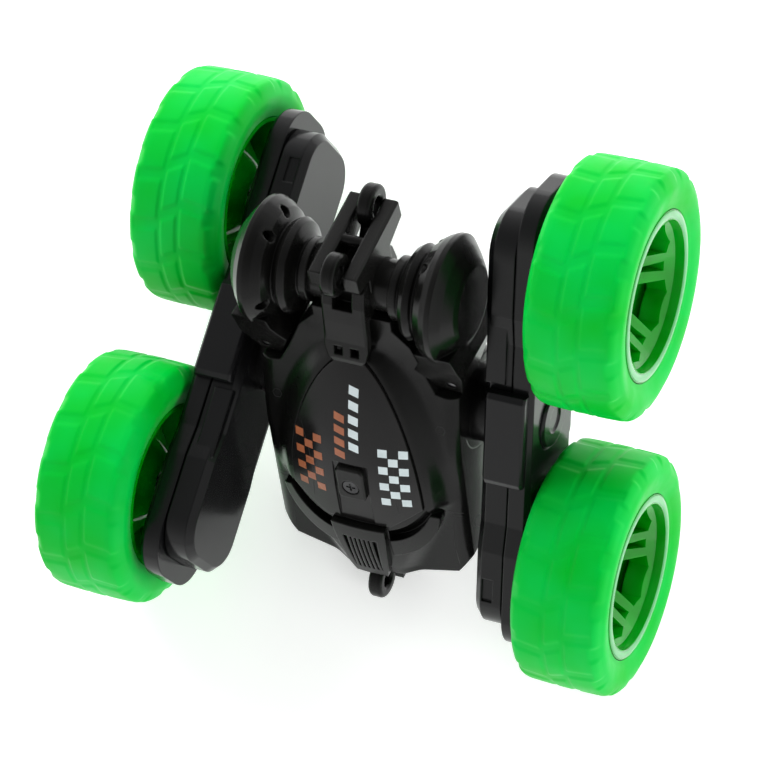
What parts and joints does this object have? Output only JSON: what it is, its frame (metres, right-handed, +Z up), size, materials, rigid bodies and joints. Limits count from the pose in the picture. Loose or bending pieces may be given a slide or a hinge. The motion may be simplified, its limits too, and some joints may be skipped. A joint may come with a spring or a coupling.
{
  "type": "rc stunt car",
  "caption": "Double-sided toy stunt car: a domed chassis between two long swing arms that turn end over end, each with a fat soft driven wheel at either end.",
  "frame": {"origin": "middle of the car's footprint box, on the surface it stands on", "axes": "+Z up; +Y forward along the level left arm; +X to the car's right, square to both, so the pivot axis lies in the XZ plane and rises to the right"},
  "size_m": [0.179, 0.162, 0.1333],
  "materials": {
    "tyre_green": "soft translucent green",
    "rim_green": "clear green plastic",
    "arm_gloss_black": "glossy black",
    "hub_black": "satin black",
    "chassis_black": "satin black",
    "panel_black": "fine matt black",
    "steel": "bright steel",
    "screw_steel": "black zinc",
    "motor_steel": "plated can",
    "bush_bronze": "sintered bronze",
    "gear_white": "natural acetal",
    "battery_sleeve": "blue shrink sleeve",
    "board": "green solder mask",
    "lead_red": "insulated wire",
    "switch_grey": "satin grey"
  },
  "bodies": {
    "chassis": {"upper_shell": "chassis_black", "lower_shell": "chassis_black", "battery_door": "panel_black", "door_latch": "chassis_black", "door_screw": "screw_steel", "belly_panel": "panel_black", "charge_socket": "steel", "tail_vent": "chassis_black", "tail_tow_eye": "chassis_black", "front_bumper": "chassis_black", "nose_crossbar": "chassis_black", "body_screws": "screw_steel", "pivot_bearings": "hub_black", "battery_pack": "battery_sleeve", "main_board": "board", "battery_leads": "lead_red", "front_straps": "chassis_black", "nose_dome_left": "chassis_black", "nose_dome_right": "chassis_black", "dome_screws": "screw_steel"},
    "arm_left": {"arm_outer_shell_left": "arm_gloss_black", "arm_inner_cover_left": "arm_gloss_black", "arm_saddle_blocks_left": "arm_gloss_black", "pivot_hub_left": "hub_black", "gear_motor_left": "motor_steel", "arm_screws_left": "screw_steel", "axle_bushes_left": "bush_bronze", "pivot_cap_left": "arm_gloss_black"},
    "drive_left": {"drive_gear_left": "gear_white"},
    "wheel_front_left": {"tyre_front_left": "tyre_green", "wheel_rim_front_left": "rim_green", "wheel_axle_front_left": "steel", "wheel_gear_front_left": "gear_white"},
    "wheel_rear_left": {"tyre_rear_left": "tyre_green", "wheel_rim_rear_left": "rim_green", "wheel_axle_rear_left": "steel", "wheel_gear_rear_left": "gear_white"},
    "idler_front_left": {"idler_gear_front_left": "gear_white"},
    "idler_rear_left": {"idler_gear_rear_left": "gear_white"},
    "arm_right": {"arm_outer_shell_right": "arm_gloss_black", "arm_inner_cover_right": "arm_gloss_black", "arm_saddle_blocks_right": "arm_gloss_black", "pivot_hub_right": "hub_black", "gear_motor_right": "motor_steel", "arm_screws_right": "screw_steel", "axle_bushes_right": "bush_bronze", "pivot_cap_right": "arm_gloss_black"},
    "drive_right": {"drive_gear_right": "gear_white"},
    "wheel_front_right": {"tyre_front_right": "tyre_green", "wheel_rim_front_right": "rim_green", "wheel_axle_front_right": "steel", "wheel_gear_front_right": "gear_white"},
    "wheel_rear_right": {"tyre_rear_right": "tyre_green", "wheel_rim_rear_right": "rim_green", "wheel_axle_rear_right": "steel", "wheel_gear_rear_right": "gear_white"},
    "idler_front_right": {"idler_gear_front_right": "gear_white"},
    "idler_rear_right": {"idler_gear_rear_right": "gear_white"},
    "switch": {"power_switch": "switch_grey"}
  },
  "joints": [
    {"name": "left_arm_swing", "type": "hinge", "parent": "chassis", "child": "arm_left", "pos_m": [-0.00328, 0, 0.05198], "axis": [0.976, 0, 0.2177], "continuous": true},
    {"name": "front_left_wheel_spin", "type": "hinge", "parent": "arm_left", "child": "wheel_front_left", "pos_m": [-0.06916, 0.045, 0.03728], "axis": [0.976, 0, 0.2177], "continuous": true},
    {"name": "rear_left_wheel_spin", "type": "hinge", "parent": "arm_left", "child": "wheel_rear_left", "pos_m": [-0.06916, -0.045, 0.03728], "axis": [0.976, 0, 0.2177], "continuous": true},
    {"name": "front_left_idler_spin", "type": "hinge", "parent": "arm_left", "child": "idler_front_left", "pos_m": [-0.04974, 0.021, 0.04161], "axis": [0.976, 0, 0.2177], "continuous": true},
    {"name": "rear_left_idler_spin", "type": "hinge", "parent": "arm_left", "child": "idler_rear_left", "pos_m": [-0.04974, -0.021, 0.04161], "axis": [0.976, 0, 0.2177], "continuous": true},
    {"name": "left_drive_spin", "type": "hinge", "parent": "arm_left", "child": "drive_left", "pos_m": [-0.04974, 0, 0.04161], "axis": [0.976, 0, 0.2177], "continuous": true},
    {"name": "right_arm_swing", "type": "hinge", "parent": "chassis", "child": "arm_right", "pos_m": [-0.00328, 0, 0.05198], "axis": [0.976, 0, 0.2177], "continuous": true},
    {"name": "front_right_wheel_spin", "type": "hinge", "parent": "arm_right", "child": "wheel_front_right", "pos_m": [0.05605, 0.03344, 0.09606], "axis": [0.976, 0, 0.2177], "continuous": true},
    {"name": "rear_right_wheel_spin", "type": "hinge", "parent": "arm_right", "child": "wheel_rear_right", "pos_m": [0.06916, -0.03344, 0.03728], "axis": [0.976, 0, 0.2177], "continuous": true},
    {"name": "front_right_idler_spin", "type": "hinge", "parent": "arm_right", "child": "idler_front_right", "pos_m": [0.04012, 0.01561, 0.07605], "axis": [0.976, 0, 0.2177], "continuous": true},
    {"name": "rear_right_idler_spin", "type": "hinge", "parent": "arm_right", "child": "idler_rear_right", "pos_m": [0.04624, -0.01561, 0.04862], "axis": [0.976, 0, 0.2177], "continuous": true},
    {"name": "right_drive_spin", "type": "hinge", "parent": "arm_right", "child": "drive_right", "pos_m": [0.04318, 0, 0.06234], "axis": [0.976, 0, 0.2177], "continuous": true},
    {"name": "power_switch_slide", "type": "slide", "parent": "chassis", "child": "switch", "axis": [-0.1885, 0.5, 0.8453], "range_m": [0, 0.003]}
  ],
  "couplings": [
    {"joint": "rear_left_wheel_spin", "follows": "front_left_wheel_spin", "ratio": 1},
    {"joint": "front_left_idler_spin", "follows": "front_left_wheel_spin", "ratio": -0.77778},
    {"joint": "rear_left_idler_spin", "follows": "front_left_wheel_spin", "ratio": -0.77778},
    {"joint": "left_drive_spin", "follows": "front_left_wheel_spin", "ratio": 1.4},
    {"joint": "rear_right_wheel_spin", "follows": "front_right_wheel_spin", "ratio": 1},
    {"joint": "front_right_idler_spin", "follows": "front_right_wheel_spin", "ratio": -0.77778},
    {"joint": "rear_right_idler_spin", "follows": "front_right_wheel_spin", "ratio": -0.77778},
    {"joint": "right_drive_spin", "follows": "front_right_wheel_spin", "ratio": 1.4}
  ]
}
